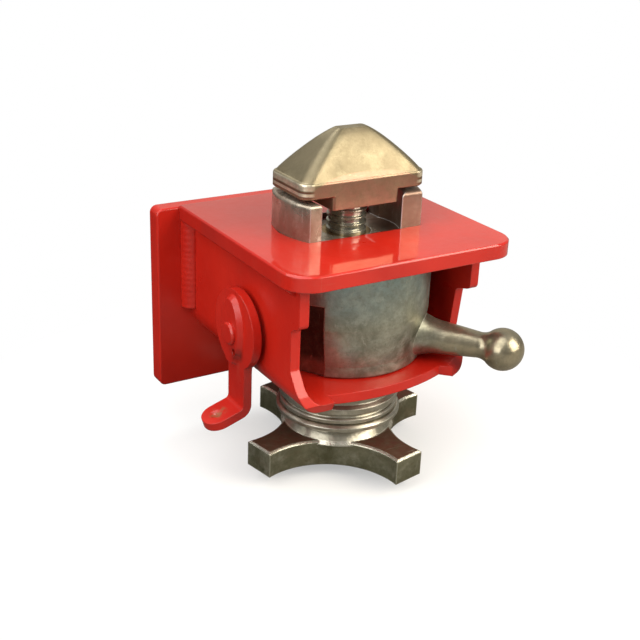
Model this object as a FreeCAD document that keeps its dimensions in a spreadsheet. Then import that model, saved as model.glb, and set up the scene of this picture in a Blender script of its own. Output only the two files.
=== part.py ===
import FreeCAD, Part
import Sketcher
import os
from math import sqrt

doc = FreeCAD.newDocument("container_twistlock")
os.makedirs("parts", exist_ok=True)

# Driving dimensions in millimetres and degrees. The origin is on the twist axis, level with the top face
# of the top plate. X runs along the back plate, Y points to the back plate, Z is up.
sizes = doc.addObject("Spreadsheet::Sheet", "Sizes")
DIMENSIONS = {
    # plates of the housing
    "plate_width": 200, "plate_thickness": 12, "plate_front": 94, "plate_corner": 22,
    "back_face": 97, "back_thickness": 14, "back_width": 240, "back_height": 160.5, "back_drop": 1.5,
    "back_corner": 6, "edge_break": 1.2,
    # bent channel, with the handle window cut into its front edges
    "channel_width": 180, "channel_wall": 8, "channel_depth": 114, "channel_bend": 24, "lip_inset": 32,
    "tooth_left": 83, "tooth_left_depth": 43, "recess_left": 72, "recess_left_depth": 47,
    "lip_left": 87, "lip_depth": 97, "lip_rise": 17,
    "tooth_right": 60.5, "tooth_right_depth": 49, "recess_right": 43, "recess_right_depth": 54,
    "recess_right_low": 38.5, "lip_right_low": 60, "lip_right_nose": 78, "lip_climb": 5.4,
    "slope_run": 16.8, "slope_rise": 18.3, "notch_radius": 5, "floor_side": 70, "floor_bow": 165,
    "weld_leg": 7,
    # slotted collar that enters the container corner
    "collar_end": 59, "collar_flat": 29.5, "cheek_height": 28.5, "cheek_round": 3, "pocket_floor": 5,
    "pocket_radius": 43.5, "pocket_wide": 41,
    # twist bolt
    "head_length": 112, "head_width": 54, "head_base": 31.5, "rim_height": 13, "rim_round": 2.2,
    "head_top": 78, "ridge_length": 26, "ridge_width": 9, "head_corner": 9,
    "hub_base": 21.5, "hub_length": 60, "hub_round": 2.5,
    "neck_radius": 16, "neck_ridge": 1.6, "neck_pitch": 5.7, "neck_rings": 4,
    "shaft_radius": 17, "shaft_tail": 11.5, "clip_depth": 1.8,
    # handle body
    "body_space": 12, "body_taper": 4.5, "body_top": 14, "body_draft_top": 64, "body_draft_end": 96,
    "body_corner": 4, "handle_angle": 46, "handle_start": 30, "root_radius": 20, "root_reach": 63,
    "root_flare": 46, "arm_radius": 13.2, "arm_reach": 87, "waist_radius": 10.8, "waist_reach": 112,
    "waist_flare": 12, "ball_radius": 17.3, "ball_reach": 133, "handle_lift": 24.4, "handle_droop": 3.6,
    "relief_turn": 101, "relief_width": 31, "relief_depth": 9, "relief_top": 45,
    "key_width": 10, "key_height": 8, "key_length": 60, "key_top": 26,
    # lower ring, washers and star nut
    "ring_radius": 50, "ring_bottom": 147, "ring_groove": 3, "ring_cove": 3, "bush_wall": 4,
    "washer_radius": 49, "washer_thickness": 5, "dish_radius": 52, "dish_thickness": 6.5,
    "nut_waist": 44, "nut_crown": 48, "crown_height": 10.4, "nut_thickness": 22, "nut_reach": 85.7,
    "nut_arm": 28, "nut_turn": 11, "nut_mouth": 8, "nut_break": 1.6,
    "end_washer_radius": 25, "end_washer_thickness": 3, "clip_thickness": 2.5, "clip_rise": 2,
    # catch lever on the left wall
    "lever_y": -6, "lever_z": -72, "eye_radius": 32, "eye_rise": 2, "lever_thickness": 7,
    "boss_length": 58, "boss_width": 33, "boss_height": 4, "boss_draft": 3, "boss_tip": 11,
    "arm_y": -9, "arm_width": 26, "arm_bottom": 129, "arm_bend": 4, "tab_reach": 27,
    "tab_angle": 72, "dimple_radius": 10, "dimple_depth": 1.4, "shoulder_drop": 28, "drain_radius": 2.6,
    "pin_radius": 9, "pin_groove": 1.2, "pivot_wall": 2.5, "spacer_radius": 19, "spacer_thickness": 4,
    "pawl_length": 40, "pawl_eye": 15, "pawl_tip": 7, "pawl_thickness": 7, "circlip_thickness": 1.1,
    # clearances
    "flat_gap": 0.3, "run_gap": 0.08, "seat_gap": 0.02,
}
for row, (name, value) in enumerate(DIMENSIONS.items(), start=1):
    sizes.set("A%d" % row, name)
    sizes.set("B%d" % row, str(value))
    sizes.setAlias("B%d" % row, name)
probe = doc.addObject("App::FeaturePython", "SizeProbe")
probe.addProperty("App::PropertyFloat", "Length", "Size")
doc.recompute()

X_AXIS = FreeCAD.Vector(1, 0, 0)
Y_AXIS = FreeCAD.Vector(0, 1, 0)
Z_AXIS = FreeCAD.Vector(0, 0, 1)
pieces = []


def size(expression):
    """Value of a sheet expression at the current sizes."""
    probe.setExpression("Length", str(expression))
    doc.recompute([probe])
    return float(probe.Length)


def new_body(label):
    body = doc.addObject("PartDesign::Body", label)
    body.Label = label
    pieces.append(body)
    return body


def new_sketch(body, role, offset=None, name="Profile", turn=None):
    """Sketch on one of the body's origin planes, moved along its normal and turned about it."""
    sketch = body.newObject("Sketcher::SketchObject", name)
    sketch.AttachmentSupport = [([f for f in body.Origin.OriginFeatures if f.Role == role][0], "")]
    sketch.MapMode = "FlatFace"
    if offset:
        sketch.setExpression(".AttachmentOffset.Base.z", offset)
    if turn:
        sketch.AttachmentOffset = FreeCAD.Placement(FreeCAD.Vector(0, 0, 0), FreeCAD.Rotation(Z_AXIS, 1))
        sketch.setExpression(".AttachmentOffset.Rotation.Angle", turn)
    return sketch


def bind(sketch, constraint, expression):
    index = sketch.addConstraint(constraint)
    sketch.setExpression("Constraints[%d]" % index, expression)


def outline(sketch, corners):
    """Closed outline. A corner is (x, y), reached by a straight line, or (x, y, radius, turn), reached by
    an arc that turns left ("ccw") or right ("cw"); "long" after the turn takes the longer way round."""
    points = [FreeCAD.Vector(size(c[0]), size(c[1]), 0) for c in corners]
    count = len(corners)
    first = sketch.GeometryCount
    ends = []
    for i, corner in enumerate(corners):
        start = points[i - 1]
        end = points[i]
        if len(corner) == 2:
            sketch.addGeometry(Part.LineSegment(start, end), False)
            ends.append((1, 2))
            continue
        radius = size(corner[2])
        left = corner[3].startswith("ccw")
        chord = end - start
        half = chord.Length / 2
        rise = sqrt(max(0.0, radius * radius - half * half))
        sagitta = radius + rise if corner[3].endswith("long") else radius - rise
        side = FreeCAD.Vector(chord.y, -chord.x, 0).normalize() * (1 if left else -1)
        middle = (start + end) * 0.5 + side * sagitta
        sketch.addGeometry(Part.Arc(start, middle, end) if left else Part.Arc(end, middle, start), False)
        ends.append((1, 2) if left else (2, 1))
    for i, corner in enumerate(corners):
        following = (i + 1) % count
        sketch.addConstraint(Sketcher.Constraint("Coincident", first + i, ends[i][1], first + following,
                                                 ends[following][0]))
        bind(sketch, Sketcher.Constraint("DistanceX", -1, 1, first + i, ends[i][1], points[i].x), corner[0])
        bind(sketch, Sketcher.Constraint("DistanceY", -1, 1, first + i, ends[i][1], points[i].y), corner[1])
        if len(corner) > 2:
            bind(sketch, Sketcher.Constraint("Radius", first + i, size(corner[2])), corner[2])


def circle(sketch, radius, x="0", y="0"):
    """Full circle whose radius and centre are sheet expressions."""
    centre = FreeCAD.Vector(size(x), size(y), 0)
    index = sketch.addGeometry(Part.Circle(centre, Z_AXIS, size(radius)), False)
    bind(sketch, Sketcher.Constraint("Radius", index, size(radius)), radius)
    bind(sketch, Sketcher.Constraint("DistanceX", -1, 1, index, 3, centre.x), x)
    bind(sketch, Sketcher.Constraint("DistanceY", -1, 1, index, 3, centre.y), y)


def rectangle(sketch, x1, y1, x2, y2):
    outline(sketch, [(x1, y1), (x2, y1), (x2, y2), (x1, y2)])


def rounded_rectangle(sketch, length, width, radius):
    """Rectangle about the origin with rounded corners."""
    x = "(%s) / 2" % length
    y = "(%s) / 2" % width
    a = "(%s - (%s))" % (x, radius)
    b = "(%s - (%s))" % (y, radius)
    outline(sketch, [(a, "-" + y), (x, "-" + b, radius, "ccw"), (x, b), (a, y, radius, "ccw"),
                     ("-" + a, y), ("-" + x, b, radius, "ccw"), ("-" + x, "-" + b),
                     ("-" + a, "-" + y, radius, "ccw")])


def extrude(body, sketch, length, kind="Pad", reverse=False, name=None):
    """Pad or pocket of a sketch, with its length from the sheet."""
    doc.recompute()
    feature = body.newObject("PartDesign::" + kind, name or kind)
    feature.Profile = sketch
    feature.Reversed = reverse
    feature.setExpression("Length", length)
    doc.recompute()
    return feature


def spin(body, sketch, axis="V_Axis", kind="Revolution"):
    """Full turn of a sketch about one of its own axes."""
    doc.recompute()
    feature = body.newObject("PartDesign::" + kind, kind)
    feature.Profile = sketch
    feature.ReferenceAxis = (sketch, [axis])
    feature.Angle = 360
    doc.recompute()
    return feature


def repeat(body, original, axis, length=None, count=None, polar=False):
    """Row of a feature along the body's axis, or ring of it round the axis."""
    pattern = body.newObject("PartDesign::" + ("PolarPattern" if polar else "LinearPattern"), "Pattern")
    pattern.Originals = [original]
    pattern_axis = [f for f in body.Origin.OriginFeatures if f.Role == axis][0]
    if polar:
        pattern.Axis = (pattern_axis, [""])
        pattern.Angle = 360
    else:
        pattern.Direction = (pattern_axis, [""])
        pattern.Reversed = True
        pattern.setExpression("Length", length)
    if isinstance(count, str):
        pattern.setExpression("Occurrences", count)
    else:
        pattern.Occurrences = count
    body.Tip = pattern
    doc.recompute()
    return pattern


def along(edge, direction):
    if edge.Curve.TypeId != "Part::GeomLine":
        return False
    return abs(abs(edge.tangentAt(edge.FirstParameter).dot(direction)) - 1) < 1e-6


def level(edge, height):
    box = edge.BoundBox
    return abs(box.ZMin - height) < 0.01 and abs(box.ZMax - height) < 0.01


def dress(body, previous, test, amount, kind="Fillet"):
    """Fillet or chamfer on the edges of the last feature that pass a test."""
    edges = ["Edge%d" % (i + 1) for i, edge in enumerate(previous.Shape.Edges) if test(edge)]
    feature = body.newObject("PartDesign::" + kind, kind)
    feature.Base = (previous, edges)
    feature.setExpression("Radius" if kind == "Fillet" else "Size", amount)
    doc.recompute()
    return feature


def turned(label, corners):
    """Round piece on the twist axis, turned from corners given as radius and height."""
    body = new_body(label)
    sketch = new_sketch(body, "XZ_Plane")
    outline(sketch, corners)
    spin(body, sketch)
    return body


def turned_on_pivot(label, corners):
    """Round piece on the lever's pivot, turned from corners given as X and radius."""
    body = new_body(label)
    sketch = new_sketch(body, "XZ_Plane", "-Sizes.lever_y")
    sketch.setExpression(".AttachmentOffset.Base.y", "Sizes.lever_z")
    outline(sketch, corners)
    spin(body, sketch, "H_Axis")
    return body


# Back plate: the weld-on plate behind the housing, with rounded corners and broken edges.
body = new_body("back_plate")
sketch = new_sketch(body, "XZ_Plane", "-(Sizes.back_face + Sizes.back_thickness)")
rectangle(sketch, "-Sizes.back_width / 2", "-Sizes.back_height", "Sizes.back_width / 2", "-Sizes.back_drop")
slab = extrude(body, sketch, "Sizes.back_thickness")
slab = dress(body, slab, lambda e: along(e, Y_AXIS), "Sizes.back_corner")
near_face = size("Sizes.back_face")
dress(body, slab, lambda e: abs(e.CenterOfMass.y - near_face) < 0.01, "Sizes.edge_break", "Chamfer")

# Top plate: the container corner rests on it. Its two front corners are rounded, and the collar drops
# through its slot.
body = new_body("top_plate")
sketch = new_sketch(body, "XY_Plane", "-Sizes.plate_thickness")
rectangle(sketch, "-Sizes.plate_width / 2", "-Sizes.plate_front", "Sizes.plate_width / 2", "Sizes.back_face")
slab = extrude(body, sketch, "Sizes.plate_thickness")
slab = dress(body, slab, lambda e: along(e, Z_AXIS) and e.CenterOfMass.y < 0, "Sizes.plate_corner")
slab = dress(body, slab, lambda e: level(e, 0) and e.CenterOfMass.y < near_face - 1, "Sizes.edge_break",
             "Chamfer")


def slot_outline(sketch, end, flat):
    """Corner-fitting slot: two arcs about the twist axis joined by two flats."""
    reach = "sqrt((%s)^2 - (%s)^2)" % (end, flat)
    outline(sketch, [(reach, "-(%s)" % flat), (reach, flat, end, "ccw"), ("-" + reach, flat),
                     ("-" + reach, "-(%s)" % flat, end, "ccw")])


sketch = new_sketch(body, "XY_Plane", name="CollarSlot")
slot_outline(sketch, "Sizes.collar_end + Sizes.seat_gap", "Sizes.collar_flat + Sizes.seat_gap")
extrude(body, sketch, "Sizes.plate_thickness + 1", "Pocket")

# Housing channel: one bent plate makes both walls and the floor.
body = new_body("housing_channel")
outer = "Sizes.channel_width / 2"
inner = "(Sizes.channel_width / 2 - Sizes.channel_wall)"
floor_top = "(Sizes.channel_depth - Sizes.channel_wall)"
sketch = new_sketch(body, "XZ_Plane", "-Sizes.back_face")
outline(sketch, [
    ("-" + outer, "-Sizes.plate_thickness"), ("-" + outer, "-(Sizes.channel_depth - Sizes.channel_bend)"),
    ("-(%s - Sizes.channel_bend)" % outer, "-Sizes.channel_depth", "Sizes.channel_bend", "ccw"),
    ("%s - Sizes.channel_bend" % outer, "-Sizes.channel_depth"),
    (outer, "-(Sizes.channel_depth - Sizes.channel_bend)", "Sizes.channel_bend", "ccw"),
    (outer, "-Sizes.plate_thickness"), (inner, "-Sizes.plate_thickness"),
    (inner, "-(Sizes.channel_depth - Sizes.channel_bend)"),
    ("%s - Sizes.channel_bend" % outer, "-" + floor_top, "Sizes.channel_bend - Sizes.channel_wall", "cw"),
    ("-(%s - Sizes.channel_bend)" % outer, "-" + floor_top),
    ("-" + inner, "-(Sizes.channel_depth - Sizes.channel_bend)", "Sizes.channel_bend - Sizes.channel_wall",
     "cw"),
    ("-" + inner, "-Sizes.plate_thickness")])
extrude(body, sketch, "Sizes.back_face + Sizes.lip_left + 4")

# Handle window: on each side a tooth above and a lip below a recess keep the handle in its plane.
lip_edge = "(Sizes.channel_width / 2 - Sizes.lip_inset)"
ahead = "-2 * Sizes.lip_left"
below = "-(Sizes.channel_depth + 2)"
sketch = new_sketch(body, "YZ_Plane", "-" + lip_edge, name="WindowLeft")
outline(sketch, [(ahead, "0"), (ahead, below), ("-(Sizes.lip_left - 6)", below),
                 ("-Sizes.lip_left", "-(Sizes.lip_depth + 8)"), ("-(Sizes.lip_left - 3)", "-Sizes.lip_depth"),
                 ("-Sizes.recess_left", "-(Sizes.lip_depth - Sizes.lip_rise)"),
                 ("-Sizes.recess_left", "-Sizes.recess_left_depth"),
                 ("-Sizes.tooth_left", "-Sizes.tooth_left_depth"), ("-Sizes.tooth_left", "0")])
extrude(body, sketch, "Sizes.lip_inset + 2", "Pocket", name="CutLeft")
foot = "-(Sizes.channel_depth - Sizes.channel_bend + 1.2)"
sketch = new_sketch(body, "YZ_Plane", lip_edge, name="WindowRight")
outline(sketch, [(ahead, "0"), (ahead, foot), ("-Sizes.recess_right_low", foot),
                 ("-Sizes.recess_right", "-Sizes.recess_right_depth"),
                 ("-Sizes.tooth_right", "-Sizes.tooth_right_depth"), ("-Sizes.tooth_right", "0")])
extrude(body, sketch, "Sizes.lip_inset + 2", "Pocket", reverse=True, name="CutRight")

# The right lip's edge slopes back as it climbs round the bend, so its cut runs along a slanted line.
sketch = new_sketch(body, "YZ_Plane", lip_edge, name="LipSlope")
outline(sketch, [(ahead, "-(Sizes.channel_depth + 8)"),
                 ("-(Sizes.lip_right_nose + 7.3)", "-(Sizes.channel_depth + 8)"),
                 ("-(Sizes.lip_right_nose - Sizes.slope_run)", "-(Sizes.channel_depth - Sizes.slope_rise)"),
                 (ahead, "-(Sizes.channel_depth - Sizes.slope_rise)")])
slope = extrude(body, sketch, "Sizes.lip_inset * 1.3", "Pocket", name="CutLip")
slope.UseCustomVector = True
slope.setExpression("Direction.x", "Sizes.lip_inset - 7")
slope.setExpression("Direction.y", "Sizes.lip_right_nose - Sizes.lip_right_low")
slope.setExpression("Direction.z", "Sizes.lip_climb")
doc.recompute()

# The floor's front edge bows forward under the handle body, between the two lips.
sketch = new_sketch(body, "XY_Plane", "-Sizes.channel_depth - 1", name="FloorFront")
outline(sketch, [("-" + lip_edge, "-(Sizes.floor_side + 4)"),
                 ("%s - 8" % lip_edge, "-Sizes.floor_side", "Sizes.floor_bow", "ccw"),
                 (lip_edge, "-Sizes.lip_right_nose"), (lip_edge, ahead),
                 ("-(%s + 6)" % lip_edge, ahead)])
extrude(body, sketch, "Sizes.channel_wall + 3", "Pocket", reverse=True, name="FloorCut")
sketch = new_sketch(body, "XY_Plane", "-Sizes.channel_depth - 1", name="ShaftOpening")
circle(sketch, "Sizes.shaft_radius + Sizes.bush_wall + 6")
cut = extrude(body, sketch, "Sizes.channel_wall + 3", "Pocket", reverse=True, name="ShaftCut")
corners = [("tooth_left", "-Sizes.tooth_left_depth"), ("recess_left", "-Sizes.recess_left_depth"),
           ("recess_left", "Sizes.lip_rise - Sizes.lip_depth"), ("tooth_right", "-Sizes.tooth_right_depth"),
           ("recess_right", "-Sizes.recess_right_depth")]
spots = [(-size("Sizes." + y), size(z)) for y, z in corners]
cut = dress(body, cut, lambda e: along(e, X_AXIS) and any(
    abs(e.CenterOfMass.y - y) + abs(e.CenterOfMass.z - z) < 0.1 for y, z in spots), "Sizes.notch_radius")
sketch = new_sketch(body, "YZ_Plane", "-%s - 1" % outer, name="PivotBore")
circle(sketch, "Sizes.pin_radius + Sizes.pivot_wall + Sizes.seat_gap", "Sizes.lever_y", "Sizes.lever_z")
extrude(body, sketch, "Sizes.channel_wall + 2", "Pocket", reverse=True, name="PivotCut")

# Fillet welds: slightly proud beads under the top plate and down the back plate.
for side, sign, tooth in (("left", "-", "Sizes.tooth_left"), ("right", "", "Sizes.tooth_right")):
    toe = "%s(%s + Sizes.weld_leg)" % (sign, outer)
    root = "%s%s" % (sign, outer)
    swell = "Sizes.weld_leg * 1.7"
    body = new_body("weld_top_" + side)
    sketch = new_sketch(body, "XZ_Plane", "-(Sizes.back_face - Sizes.weld_leg - 2)")
    outline(sketch, [(root, "-Sizes.plate_thickness"), (root, "-(Sizes.plate_thickness + Sizes.weld_leg)"),
                     (toe, "-Sizes.plate_thickness", swell, "cw" if sign else "ccw")])
    extrude(body, sketch, "Sizes.back_face - Sizes.weld_leg - 2 + %s - 6" % tooth)
    body = new_body("weld_back_" + side)
    sketch = new_sketch(body, "XY_Plane", "-(Sizes.channel_depth - Sizes.channel_bend)")
    outline(sketch, [(root, "Sizes.back_face"), (root, "Sizes.back_face - Sizes.weld_leg - 2"),
                     ("%s(%s + Sizes.weld_leg + 2)" % (sign, outer), "Sizes.back_face", swell,
                      "cw" if sign else "ccw")])
    extrude(body, sketch, "Sizes.channel_depth - Sizes.channel_bend - Sizes.plate_thickness")

# Shear block: the slotted collar that enters the corner fitting. Two cheeks stand on a floor; between
# them the bolt's hub turns in a round well with a wider notch at the front left and the back right.
body = new_body("shear_block")
sketch = new_sketch(body, "XY_Plane", "-Sizes.plate_thickness")
slot_outline(sketch, "Sizes.collar_end", "Sizes.collar_flat")
extrude(body, sketch, "Sizes.plate_thickness + Sizes.cheek_height")
beyond = "(Sizes.collar_flat + 2)"
meet = "sqrt(Sizes.pocket_radius^2 - Sizes.pocket_wide^2)"
leave = "sqrt(Sizes.pocket_radius^2 - (Sizes.collar_flat + 2)^2)"
sketch = new_sketch(body, "XY_Plane", "Sizes.cheek_height + 1", name="HubWell")
outline(sketch, [("-Sizes.pocket_wide", "-" + beyond), (leave, "-" + beyond),
                 ("Sizes.pocket_wide", meet, "Sizes.pocket_radius", "ccw"), ("Sizes.pocket_wide", beyond),
                 ("-" + leave, beyond), ("-Sizes.pocket_wide", "-" + meet, "Sizes.pocket_radius", "ccw")])
extrude(body, sketch, "Sizes.cheek_height + 1 + Sizes.pocket_floor", "Pocket")
sketch = new_sketch(body, "XY_Plane", name="BushBore")
circle(sketch, "Sizes.neck_radius + Sizes.bush_wall + Sizes.seat_gap")
bored = extrude(body, sketch, "Sizes.plate_thickness + 1", "Pocket")
cheek_top = size("Sizes.cheek_height")
dress(body, bored, lambda e: level(e, cheek_top), "Sizes.cheek_round")

# Bushes that carry the bolt, in the collar's floor and in the lower ring.
turned("upper_bush", [
    ("Sizes.neck_radius + Sizes.run_gap", "-Sizes.pocket_floor"),
    ("Sizes.neck_radius + Sizes.run_gap", "-Sizes.plate_thickness"),
    ("Sizes.neck_radius + Sizes.bush_wall", "-Sizes.plate_thickness"),
    ("Sizes.neck_radius + Sizes.bush_wall", "-Sizes.pocket_floor")])
turned("lower_bush", [
    ("Sizes.shaft_radius + Sizes.run_gap", "-(%s + 1)" % floor_top),
    ("Sizes.shaft_radius + Sizes.run_gap", "-Sizes.ring_bottom"),
    ("Sizes.shaft_radius + Sizes.bush_wall", "-Sizes.ring_bottom"),
    ("Sizes.shaft_radius + Sizes.bush_wall", "-(%s + 1)" % floor_top)])

# Lower ring: round boss under the floor, waisted between its root and its rim.
turned("lower_ring", [
    ("Sizes.shaft_radius + Sizes.bush_wall + Sizes.seat_gap", "-Sizes.channel_depth"),
    ("Sizes.shaft_radius + Sizes.bush_wall + Sizes.seat_gap", "-Sizes.ring_bottom"),
    ("Sizes.ring_radius - 1.5", "-Sizes.ring_bottom"), ("Sizes.ring_radius", "-(Sizes.ring_bottom - 1.5)"),
    ("Sizes.ring_radius", "-(Sizes.ring_bottom - 6)"),
    ("Sizes.ring_radius - Sizes.ring_cove", "-(Sizes.ring_bottom - 6 - Sizes.ring_cove)"),
    ("Sizes.ring_radius - Sizes.ring_cove", "-(Sizes.channel_depth + Sizes.ring_cove)"),
    ("Sizes.ring_radius", "-Sizes.channel_depth")])

# Heights down the shaft, each from the piece above it: washers, crown and arms of the nut, shaft's end.
washer_top = "(Sizes.ring_bottom + Sizes.ring_groove)"
dish_top = "(%s + Sizes.washer_thickness + Sizes.flat_gap)" % washer_top
crown_top = "(%s + Sizes.dish_thickness + Sizes.flat_gap)" % dish_top
nut_top = "(%s + Sizes.crown_height)" % crown_top
nut_foot = "(%s + Sizes.nut_thickness)" % nut_top
shaft_end = "(%s + Sizes.shaft_tail)" % nut_foot

# Twist bolt: the rim of the head with its ridged roof, the hub under it, and the neck and shaft in one.
body = new_body("twist_bolt")
rim_foot = "Sizes.head_base"
sketch = new_sketch(body, "XY_Plane", rim_foot, name="Rim")
rounded_rectangle(sketch, "Sizes.head_length", "Sizes.head_width", "Sizes.head_corner")
rim = extrude(body, sketch, "Sizes.rim_height")
rim_base = size(rim_foot)
rim_top = size("Sizes.head_base + Sizes.rim_height")
rim = dress(body, rim, lambda e: level(e, rim_top), "Sizes.rim_round")
rim = dress(body, rim, lambda e: level(e, rim_base), "Sizes.edge_break", "Chamfer")
sections = []
for rise, spread, tightness in (("0", "0.975", "0.9"), ("0.36", "0.70", "0.85"), ("0.68", "0.40", "0.7"),
                                ("0.90", "0.15", "0.5"), ("1", "0", "0.3")):
    height = "Sizes.head_base + Sizes.rim_height - 1.4 + (Sizes.head_top - Sizes.head_base" \
             " - Sizes.rim_height + 1.4) * " + rise
    sketch = new_sketch(body, "XY_Plane", height, name="Roof")
    rounded_rectangle(sketch, "Sizes.ridge_length + (Sizes.head_length - Sizes.ridge_length) * " + spread,
                      "Sizes.ridge_width + (Sizes.head_width - Sizes.ridge_width) * " + spread,
                      "Sizes.head_corner * " + tightness)
    sections.append(sketch)
doc.recompute()
roof = body.newObject("PartDesign::AdditiveLoft", "RidgedRoof")
roof.Profile = sections[0]
roof.Sections = sections[1:]
roof.Ruled = False
doc.recompute()
sketch = new_sketch(body, "XY_Plane", "Sizes.hub_base", name="Hub")
rounded_rectangle(sketch, "Sizes.hub_length", "Sizes.head_width", "Sizes.hub_round")
extrude(body, sketch, "Sizes.head_base - Sizes.hub_base + Sizes.rim_height / 2")
sketch = new_sketch(body, "XZ_Plane", name="Shaft")
outline(sketch, [
    ("0", "Sizes.hub_base + 1"), ("0", "-" + shaft_end), ("Sizes.shaft_radius - 2", "-" + shaft_end),
    ("Sizes.shaft_radius", "-(%s - 2)" % shaft_end), ("Sizes.shaft_radius", "-Sizes.body_top"),
    ("Sizes.neck_radius", "-(Sizes.plate_thickness + 1)"), ("Sizes.neck_radius", "Sizes.hub_base - 1"),
    ("Sizes.neck_radius + 2", "Sizes.hub_base + 1")])
spin(body, sketch)

# Turned rings of the neck and the clip's groove near the lower end.
sketch = new_sketch(body, "XZ_Plane", name="NeckRing")
outline(sketch, [("Sizes.neck_radius - Sizes.neck_ridge", "Sizes.hub_base - 3"),
                 ("Sizes.neck_radius - Sizes.neck_ridge", "Sizes.hub_base - 3 - Sizes.neck_pitch * 0.5"),
                 ("Sizes.neck_radius + 1", "Sizes.hub_base - 3 - Sizes.neck_pitch * 0.75"),
                 ("Sizes.neck_radius + 1", "Sizes.hub_base - 3 + Sizes.neck_pitch * 0.2")])
ring = spin(body, sketch, kind="Groove")
repeat(body, ring, "Z_Axis", "Sizes.neck_pitch * (Sizes.neck_rings - 1)", "Sizes.neck_rings")
clip_foot = "(%s - Sizes.clip_rise)" % shaft_end
clip_head = "(%s - Sizes.clip_thickness - Sizes.flat_gap)" % clip_foot
sketch = new_sketch(body, "XZ_Plane", name="ClipGroove")
rectangle(sketch, "Sizes.shaft_radius - Sizes.clip_depth", "-" + clip_foot, "Sizes.shaft_radius + 1",
          "-" + clip_head)
spin(body, sketch, kind="Groove")


def key_seat(sketch, gap):
    """Plan of the drive key, opposite the handle and half in the shaft, half in the handle body."""
    half_width = "(Sizes.key_width / 2 - %s)" % gap
    half_height = "(Sizes.key_height / 2 - %s)" % gap
    rectangle(sketch, "-(Sizes.shaft_radius + %s)" % half_height, "-" + half_width,
              "-(Sizes.shaft_radius - %s)" % half_height, half_width)


sketch = new_sketch(body, "XY_Plane", "-Sizes.key_top", name="Keyway", turn="-Sizes.handle_angle")
key_seat(sketch, "0")
extrude(body, sketch, "Sizes.key_length", "Pocket", name="KeywayCut")

# Drive key between the shaft and the handle body.
body = new_body("drive_key")
sketch = new_sketch(body, "XY_Plane", "-(Sizes.key_top + Sizes.key_length - Sizes.seat_gap)",
                    turn="-Sizes.handle_angle")
key_seat(sketch, "Sizes.seat_gap")
extrude(body, sketch, "Sizes.key_length - 2 * Sizes.seat_gap")

# Handle body, built with the handle along X and then swung to its resting place: a drafted drum, the
# handle turned as one flared stem with its ball, the relief in the drum's side, the bore and the keyway.
body = new_body("handle_body")
body.Placement = FreeCAD.Placement(FreeCAD.Vector(0, 0, 0), FreeCAD.Rotation(Z_AXIS, 1))
body.setExpression(".Placement.Rotation.Angle", "-Sizes.handle_angle")
drum_foot = "(%s - Sizes.flat_gap)" % floor_top
drum_side = "Sizes.channel_width / 2 - Sizes.channel_wall - Sizes.body_space"
drum_waist = drum_side + " - Sizes.body_taper"
sketch = new_sketch(body, "XZ_Plane", name="Drum")
outline(sketch, [
    ("Sizes.shaft_radius + Sizes.seat_gap", "-Sizes.body_top"),
    ("Sizes.shaft_radius + Sizes.seat_gap", "-" + drum_foot), (drum_waist + " - 2", "-" + drum_foot),
    (drum_waist, "-(%s - 2)" % drum_foot, "2", "ccw"), (drum_waist, "-Sizes.body_draft_end"),
    (drum_side, "-Sizes.body_draft_top"),
    (drum_side, "-(Sizes.body_top + Sizes.body_corner)"),
    (drum_side + " - Sizes.body_corner", "-Sizes.body_top", "Sizes.body_corner", "ccw")])
spin(body, sketch)
sketch = new_sketch(body, "XZ_Plane", name="Stem", turn="-Sizes.handle_droop")
sketch.setExpression(".AttachmentOffset.Base.y", "-(%s - Sizes.handle_lift)" % floor_top)
ball_side = "sqrt(Sizes.ball_radius^2 - (Sizes.waist_radius + 1.5)^2)"
outline(sketch, [
    ("Sizes.handle_start", "0"), ("Sizes.ball_reach + Sizes.ball_radius", "0"),
    ("Sizes.ball_reach - " + ball_side, "Sizes.waist_radius + 1.5", "Sizes.ball_radius", "ccw"),
    ("Sizes.waist_reach", "Sizes.waist_radius", "Sizes.waist_flare", "cw"),
    ("Sizes.arm_reach", "Sizes.arm_radius"),
    ("Sizes.root_reach", "Sizes.root_radius", "Sizes.root_flare", "cw"),
    ("Sizes.handle_start", "Sizes.root_radius")])
stem = spin(body, sketch, "H_Axis")
sketch = new_sketch(body, "XY_Plane", name="Bore")
circle(sketch, "Sizes.shaft_radius + Sizes.seat_gap")
extrude(body, sketch, "Sizes.channel_depth + 1", "Pocket")
sketch = new_sketch(body, "XY_Plane", "-Sizes.key_top", name="Keyway")
key_seat(sketch, "0")
extrude(body, sketch, "Sizes.key_length", "Pocket", name="KeywayCut")
sketch = new_sketch(body, "XY_Plane", "-Sizes.relief_top", name="Relief", turn="-Sizes.relief_turn")
rectangle(sketch, drum_side + " - Sizes.relief_depth", "-Sizes.relief_width / 2",
          drum_side + " + 5", "Sizes.relief_width / 2")
extrude(body, sketch, "Sizes.channel_depth - Sizes.relief_top", "Pocket", name="ReliefCut")

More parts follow.
